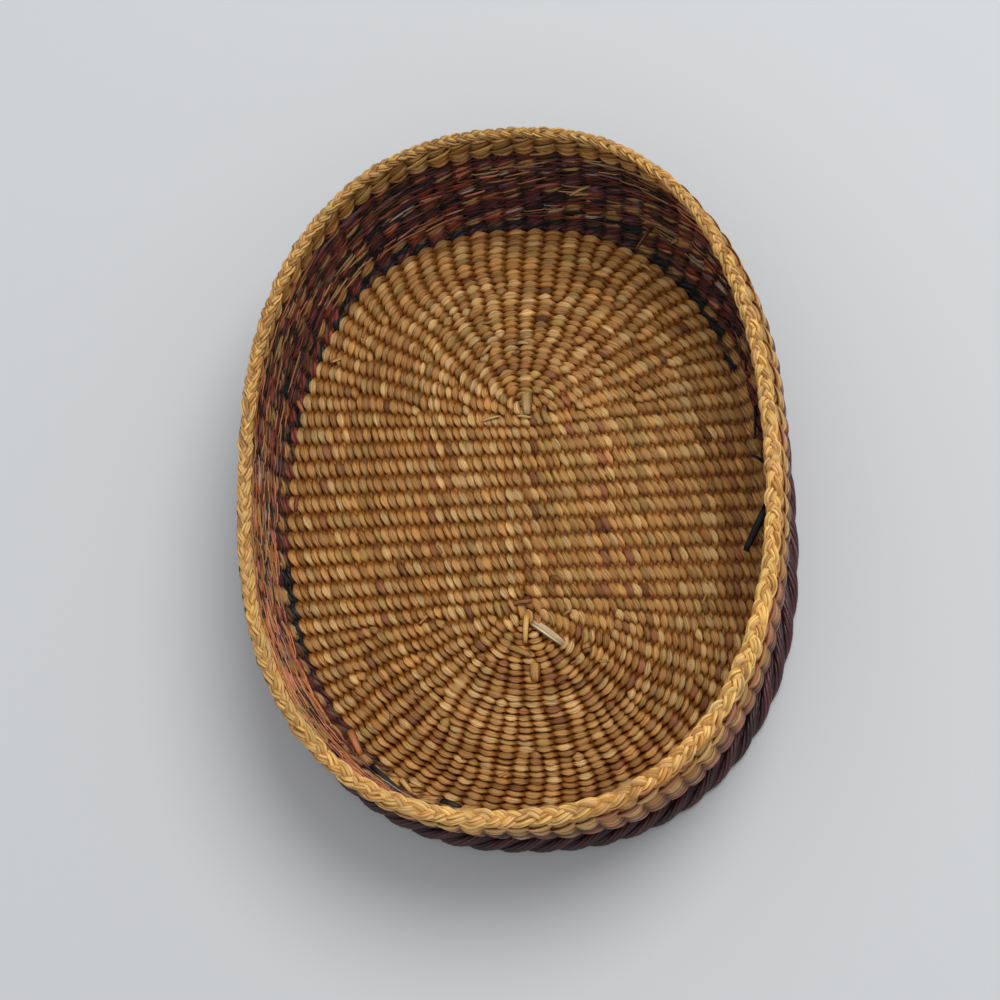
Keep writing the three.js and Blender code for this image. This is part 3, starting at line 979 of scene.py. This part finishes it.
# %% Wall
WALL_LEAVES = 2
WALL_REACH = 0.36
WALL_STRAY = 0.25
WALL_BOWS = (0.2 * MM, 1.5 * MM)
INNER_DEPTH = 1.35 * MM
RUN_TIPS = 14
RUN_STREAKS = 380
LEFT_STREAKS = 90
LEFT_SHARES = (0.48, 0.7)
TIP_SHARES = (0.02, 0.7)
wall_flakes = [[
    ((131, -6, 16), (118, -30, 12), 2.1, INK),
    ((127, 49, 18), (126, 30, 17), 0.8, INK),
    ((130, 18, 15), (124, 22, 14), 0.9, INK),
    ((-121, 68, 14), (-118, 61, 13), 1.4, ORANGE),
    ((-121, 14, 14), (-122, 4, 14), 1.2, BRICK),
    ((-67, -143, 11), (-61, -151, 10), 1.5, STRAW),
    ((-82, -136, 16), (-61, -156, 14), 1.2, INK),
    ((-46, -156, 13), (-35, -160, 12), 1.3, INK),
    ((68, 137, 10), (74, 132, 10), 0.9, PALE),
], [
    ((-92, -118, 21), (-86, -132, 20), 2.2, ORANGE),
    ((76, 151, 26), (67, 139, 25), 0.9, UMBER),
], [
    ((29, 170, 50), (15, 168, 49), 1.1, BRICK),
    ((45, 167, 51), (34, 162, 50), 0.9, TAN),
]]

wall_pitch = (NATURAL_BOTTOM - BEND_TOP) / (RUNS * ROUNDS_IN_RUN)
for run in range(RUNS):
    low = BEND_TOP + run * ROUNDS_IN_RUN * wall_pitch
    high = low + ROUNDS_IN_RUN * wall_pitch
    extras = scattered_ends(end_random, RUN_TIPS, wall_place, low, high, TIP_SHARES,
                            [BRICK, TAN, INK, UMBER, PLUM])
    extras += streaks(end_random, RUN_STREAKS, low, high, (0, 1))
    extras += streaks(end_random, LEFT_STREAKS, low, high, LEFT_SHARES)
    extras += [flake(end_random, *bit) for bit in wall_flakes[run]]
    rounds = []
    for number in range(run * ROUNDS_IN_RUN, (run + 1) * ROUNDS_IN_RUN):
        dyes = [[coloured_lengths(weave_random, STAKES, 1, 5, wall_dyes, wall_weights, 0.2)
                 for _ in range(WALL_LEAVES)] for _ in range(2)]
        height = BEND_TOP + (number + 0.5) * wall_pitch
        rounds.append(twine_round(weave_random, wall_place, height, wall_pitch, wall_stakes, dyes,
                                  reach=WALL_REACH, bow=WALL_BOWS, depth=(INNER_DEPTH, TWIST_DEPTH),
                                  stray=WALL_STRAY))
    nodes = [f"wall_{side}_weft_{run + 1}" for side in ("inner", "outer")]
    weft_pieces(f"wall_{run + 1}", rounds, extras, dyed_grass, nodes)

# %% [markdown]
# ## The natural band
# Under the rim the strands are natural again and pulled down in front of each stake. Over them, inside and
# outside, one broad flat leaf lies slanted over each stake. So every stake carries a small pillow, and the
# band has a scalloped lower edge.

# %% Natural band
NATURAL_BOW = 1.9 * MM
NATURAL_REACH = 0.14
NATURAL_WANDER = 0.14
natural_dyes = [GOLD, PALE, STRAW, TAN, BROWN, PINK, ORANGE]
natural_pitch = (PLAIT_BOTTOM - NATURAL_BOTTOM) / NATURAL_ROUNDS


def natural_weights(share):
    far = near(share, 0.25, 0.2)
    lit = near(share, 0.87, 0.2)
    return [4 - 2 * lit, 2 - far, 4 - 3 * far - lit, 0.6 + far, 0.5 + 2.5 * far, 3 * lit, 1.5 * lit]


COVER_STEPS = 7
COVER_STRAY = 0.12
COVER_LENGTH = (12.5, 16)
COVER_LEVEL = (0.4, 0.75)
COVER_HALF_WIDTH = (2.6, 3.4)
COVER_THICKNESS = 0.5 * MM
COVER_TAPER = 0.6
COVER_RIDE = 3.3 * MM
COVER_DIP = 1.6 * MM
COVER_END_RISE = 0.55
COVER_SHADES = (0.9, 1.1)
COVER_TILT = (0.05, 0.2)
COVER_SLANTS = {-1: -24, 1: 16}
COVER_SPREAD = 7


def cover_leaves(random, side):
    """One broad flat leaf over each stake of the band. Side 1 is outside and -1 inside."""
    made = []
    part = np.linspace(-0.5, 0.5, COVER_STEPS)
    outer = 2 * np.abs(part)
    for stake in range(STAKES):
        middle = (stake + random.uniform(-COVER_STRAY, COVER_STRAY)) / STAKES
        length = random.uniform(*COVER_LENGTH) * MM
        turn = math.radians(random.normal(COVER_SLANTS[side], COVER_SPREAD))
        share = middle + part * length * math.cos(turn) / RIM_LENGTH
        level = NATURAL_BOTTOM + random.uniform(*COVER_LEVEL) * (PLAIT_BOTTOM - NATURAL_BOTTOM)
        base = wall_place(share, level + part * length * math.sin(turn))
        outward = side * unit(base * (1, 1, 0))
        ride = COVER_RIDE - (COVER_RIDE - COVER_DIP) * outer ** 2.5
        width = random.uniform(*COVER_HALF_WIDTH) * MM * (1 - COVER_TAPER * outer ** 2)
        dye = picked(random, natural_dyes, natural_weights(middle % 1)) * random.uniform(*COVER_SHADES)
        # Painted shade: the two ends of the leaf, where it dips into the weave, are painted darker.
        rise = 1 - (1 - COVER_END_RISE) * outer ** 2
        made.append(lay_strand(base + outward * ride[:, None], outward, width, COVER_THICKNESS, dye, rise,
                               closed=False, sides=6, start=fibre_start(random),
                               tilt=random.uniform(*COVER_TILT)))
    return made


covers = cover_leaves(end_random, -1) + cover_leaves(end_random, 1)
rounds = []
for number in range(NATURAL_ROUNDS):
    dyes = [[coloured_lengths(weave_random, STAKES, 4, 14, natural_dyes, natural_weights)
             for _ in range(2)] for _ in range(2)]
    height = NATURAL_BOTTOM + (number + 0.5) * natural_pitch
    rounds.append(twine_round(weave_random, wall_place, height, natural_pitch, wall_stakes, dyes,
                              reach=NATURAL_REACH, bow=(0.6 * NATURAL_BOW, NATURAL_BOW),
                              wander=NATURAL_WANDER))
nodes = ["natural_inner_weft", "natural_outer_weft"]
weft_pieces("natural", rounds, covers, rim_grass, nodes)

# %% [markdown]
# ## The rim plait
# Three bundles are plaited flat round the rim. A three-strand plait is a figure of eight drawn out along
# its length: each bundle swings from side to side once while it rises and dips twice. The plait has about
# two Vs for each stake at the far end, where it is pulled tight, and fewer at the near end, where it is
# loose. A flat strand in its middle closes the small holes between the bundles.

# %% Plait
PLAIT_SWING = 2.2 * MM
PLAIT_RISE = 1.4 * MM
PLAIT_HALF_WIDTH = 2.1 * MM
PLAIT_HALF_THICKNESS = 1.3 * MM
PLAIT_STEPS = 572
PLAIT_LEAVES = 3
PLAIT_TURNS = 50
TURNS_SWAY = 11
PLAIT_SLACK = 0.7
PLAIT_LOOSE = (0.78, 1.16)
PLAIT_UPRIGHT = 1.2
PLAIT_STRAY = 0.3
PLAIT_TILT = 0.2
CORE_RISE = 0.4
plait_dyes = [STRAW, GOLD, PALE, TAN]
# Painted light: the plait's dyes are lighter round the near end and at the right, and a little darker at the
# far end.
plait_painted_light = even_round(np.array([1.25, 1.1, 1.0, 0.95, 1.0, 1.08, 1.12, 1.15, 1.25, 1.35, 1.35, 1.3]))
plait_size = even_round(np.array([1.12, 1.02, 0.84, 0.76, 0.84, 0.94, 1.0, 1.04, 1.12, 1.24, 1.28, 1.22]))
plait_height = (PLAIT_BOTTOM + RIM_TOP) / 2


def ring_frame(share, half, height):
    """A ring round the basket: its points, and the direction away from the basket at each of them."""
    path = lift(shares_at(share) * half, height)
    along = unit(ahead_of(path, True))
    return path, np.cross(along, (0, 0, 1))


def rim_weights(share):
    far = near(share, 0.25, 0.25)
    return [5 - 3.5 * far, 3, 4 - 3 * far, 0.6 + 2 * far]


rim_random = np.random.default_rng(8)
share = np.arange(PLAIT_STEPS) / PLAIT_STEPS
ring, outward = ring_frame(share, wall_half(share, plait_height), plait_height)
size = plait_size(share)
painted_light = plait_painted_light(share)
stitch = np.rint(share * STAKES).astype(int) % STAKES
upright = np.array([0, 0, 1.0])
turns = PLAIT_TURNS * share + TURNS_SWAY * np.sin(2 * math.pi * (share - 0.25)) / (2 * math.pi)
slack = between_knots(rim_random.uniform(-PLAIT_SLACK, PLAIT_SLACK, STAKES), share * STAKES)
strands = []
for strand in range(3):
    turn = 2 * math.pi * (turns + strand / 3) + slack
    loose = between_knots(rim_random.uniform(*PLAIT_LOOSE, STAKES), share * STAKES)
    rise = np.sin(2 * turn)
    path = (ring + outward * (PLAIT_SWING * size * loose * np.cos(turn))[:, None]
            + upright * (PLAIT_RISE * loose * rise)[:, None])
    lean = unit(upright * PLAIT_UPRIGHT + outward * np.cos(turn)[:, None])
    dyes = [coloured_lengths(rim_random, STAKES, 3, 9, plait_dyes, rim_weights)[stitch] * painted_light[:, None]
            for _ in range(PLAIT_LEAVES)]
    # Painted shade: a bundle is painted darker where it passes the mid height of the plait.
    strands += lay_bundle(rim_random, path, lean, PLAIT_HALF_WIDTH * size, PLAIT_HALF_THICKNESS * size, dyes,
                          0.5 + 0.5 * np.abs(rise), 1.0, PLAIT_STRAY, STAKES, 6, PLAIT_TILT)
# The flat core strand is painted dark, as painted shade in the holes between the bundles.
strands.append(lay_strand(ring, upright, PLAIT_HALF_WIDTH * size, PLAIT_HALF_THICKNESS,
                          STRAW * painted_light[:, None], CORE_RISE))
weave_piece("rim_plait_braid", strands, rim_grass, ["rim_plait"])

# %% [markdown]
# ## The foot rope
# A laid rope of three strands, each of seven stalks round its middle. A stalk follows a helix on a helix:
# the strand winds round the rope, and the stalk winds slowly round the strand. The lay is drawn out along
# the sides and pushed together round the two ends.

# %% Rope
ROPE_FIT = 0.97
STRAND_PART = 0.54
ROPE_RADIUS = (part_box("foot_rope")[1].x - FOOT_HALF[0] - ROPE_REACH) * ROPE_FIT
ROPE_STRAND = ROPE_RADIUS * STRAND_PART
STALK = 1.3 * MM
ROPE_LAYS = 18
LAY_SWAY = 6
STALKS = 7
STALK_TURNS = 8
ROPE_STEPS = 340
rope_dyes = [ROPE_PLUM, INK, MAUVE, DARK_PLUM]
rope_random = np.random.default_rng(3)
share = np.arange(ROPE_STEPS) / ROPE_STEPS
stitch = np.rint(share * STAKES).astype(int) % STAKES
ring, outward = ring_frame(share, widened(FOOT_HALF, foot_shift(share) + ROPE_REACH), ROPE_RADIUS)
turns = ROPE_LAYS * share - LAY_SWAY * np.sin(4 * math.pi * share) / (4 * math.pi)


def rope_weights(share):
    end = near(share, 0.72, 0.16)
    return [8 - 6 * end, 0.2 + 0.2 * end, 0.6 * (1 - end), 1 + 7 * end]


strands = []
for strand in range(3):
    lay = 2 * math.pi * (turns + strand / 3)
    centre = outward * np.cos(lay)[:, None] + upright * np.sin(lay)[:, None]
    around = upright * np.cos(lay)[:, None] - outward * np.sin(lay)[:, None]
    reach = ROPE_RADIUS - ROPE_STRAND
    for stalk in range(STALKS):
        turn = 2 * math.pi * (stalk / STALKS + STALK_TURNS * share)
        off = centre * np.cos(turn)[:, None] + around * np.sin(turn)[:, None]
        path = ring + centre * reach + off * (ROPE_STRAND - STALK)
        # Painted shade: a stalk is painted darker where it turns into the middle of its strand.
        proud = 0.5 + 0.5 * np.cos(turn)
        dyes = coloured_lengths(rope_random, STAKES, 6, 16, rope_dyes, rope_weights)
        strands.append(lay_strand(path, unit(off), STALK, STALK, dyes[stitch], proud, sides=6,
                                  start=fibre_start(rope_random)))
weave_piece("foot_rope_laid", strands, plum_rope, ["foot_rope"])

# %% [markdown]
# ## The stakes
# They hardly show, but they fill the ridges and carry the weave. A cross stake is one bundle from tip to
# tip. An end stake starts in the round where it was pushed in.

# %% Stakes
STAKE_RADIUS = 1.12 * MM
STAKE_RISE = 0.5
BEND_STEPS = 4
WALL_STEPS = 9


def stake_up(share):
    """The part of a stake from the bend to its tip."""
    bend = [bend_place(np.array(share), (step + 1) / BEND_STEPS) for step in range(BEND_STEPS)]
    heights = np.linspace(BEND_TOP, STAKE_TIP, WALL_STEPS + 1)[1:]
    return bend + [wall_place(np.array(share), height) for height in heights]


def stake_bar(path, random):
    path = np.array(path)
    along = unit(ahead_of(path, False))
    side = unit(np.cross(path * (1, 1, 0), (0, 0, 1)) + 1e-9)
    # The stakes get half the fold shade all along, as painted shade.
    return lay_strand(path, np.cross(side, along), STAKE_RADIUS, STAKE_RADIUS, GOLD, STAKE_RISE,
                      closed=False, sides=6, start=fibre_start(random))


stake_random = np.random.default_rng(21)
strands = []
for place in range(-CROSS_REACH, CROSS_REACH + 1):
    share = place / STAKES
    parts = np.linspace(0, 1, FLOOR_ROUNDS // 2)
    right = [floor_place(np.array(share), part) for part in parts] + stake_up(share)
    left = [floor_place(np.array(0.5 - share), part) for part in parts[1:]] + stake_up(0.5 - share)
    strands.append(stake_bar(left[::-1] + right, stake_random))
nodes = [f"cross_stake_{number + 1:02d}" for number in range(CROSS_STAKES)]
weave_piece("cross_stakes", strands, stake_grass, nodes)

for end, fan in (("back", back_fan), ("front", front_fan)):
    strands = []
    for name in range(END_STAKES):
        stops = [(shares[names.index(name)], (number + 0.5) / FLOOR_ROUNDS)
                 for number, (shares, names) in enumerate(fan) if name in names]
        path = [floor_place(np.array(share), part) for share, part in stops]
        strands.append(stake_bar(path + stake_up(stops[-1][0]), stake_random))
    nodes = [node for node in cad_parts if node.startswith(end + "_stake")]
    weave_piece(end + "_stakes", strands, stake_grass, sorted(nodes))

# %% [markdown]
# ## Ground and light
# The basket stands on a plain pale ground. One soft lamp stands high beyond the far end and to the right, so
# the far wall is in shade and a short shadow falls to the near side. The world fills in from everywhere.

# %% Stage
GROUND_SIZE = 8
GROUND_COLOUR = colour(211, 212, 213)
GROUND_ROUGHNESS = 0.8
WORLD_COLOUR = (0.94, 0.97, 1, 1)
WORLD_STRENGTH = 0.55
bpy.ops.mesh.primitive_plane_add(size=GROUND_SIZE)
ground = bpy.context.object
ground.name = "ground"
ground_finish = bpy.data.materials.new("ground")
ground_finish.use_nodes = True
shader = ground_finish.node_tree.nodes["Principled BSDF"]
shader.inputs["Base Color"].default_value = (*GROUND_COLOUR, 1)
shader.inputs["Roughness"].default_value = GROUND_ROUGHNESS
ground.data.materials.append(ground_finish)

world = bpy.data.worlds.new("studio")
bpy.context.scene.world = world
world.use_nodes = True
world.node_tree.nodes["Background"].inputs["Color"].default_value = WORLD_COLOUR
world.node_tree.nodes["Background"].inputs["Strength"].default_value = WORLD_STRENGTH


def soft_lamp(name, place, aim, size, power):
    lamp = bpy.data.lights.new(name, "AREA")
    lamp.shape = "DISK"
    lamp.size = size
    lamp.energy = power
    holder = bpy.data.objects.new(name, lamp)
    holder.location = place
    holder.rotation_euler = (Vector(aim) - Vector(place)).to_track_quat("-Z", "Y").to_euler()
    bpy.context.scene.collection.objects.link(holder)


soft_lamp("key", place=(0.8, 1.0, 2.4), aim=(0, 0, 0.04), size=1.8, power=41)
bpy.context.scene.view_settings.view_transform = "Standard"
print("lamps:", [lamp.name for lamp in bpy.data.lights if lamp.type == "AREA"])

# %% [markdown]
# ## Camera
# The view looks steeply down. The camera is turned about its own line of sight, and a small shift puts the
# basket a little right of and below the middle.

# %% Camera
AZIMUTH = math.radians(18.54)
ELEVATION = math.radians(72.31)
ROLL = math.radians(-20.75)
DISTANCE = 1498.9 * MM
LENS = 100.8
SENSOR = 36
SHIFT = (-0.0224, 0.0107)
TARGET = Vector((0, 0, 7.5 * MM))
back = Vector((math.sin(AZIMUTH) * math.cos(ELEVATION), -math.cos(AZIMUTH) * math.cos(ELEVATION),
               math.sin(ELEVATION)))
level_right = Vector((0, 0, 1)).cross(back).normalized()
level_up = back.cross(level_right)
right = level_right * math.cos(ROLL) + level_up * math.sin(ROLL)
up = level_up * math.cos(ROLL) - level_right * math.sin(ROLL)
camera_data = bpy.data.cameras.new("camera")
camera_data.lens = LENS
camera_data.sensor_width = SENSOR
camera_data.shift_x, camera_data.shift_y = SHIFT
camera = bpy.data.objects.new("camera", camera_data)
turned = Matrix((right, up, back)).transposed().to_4x4()
camera.matrix_world = Matrix.Translation(TARGET + back * DISTANCE) @ turned
bpy.context.scene.collection.objects.link(camera)
bpy.context.scene.camera = camera
print("camera at", [round(value, 3) for value in camera.matrix_world.translation], "m")
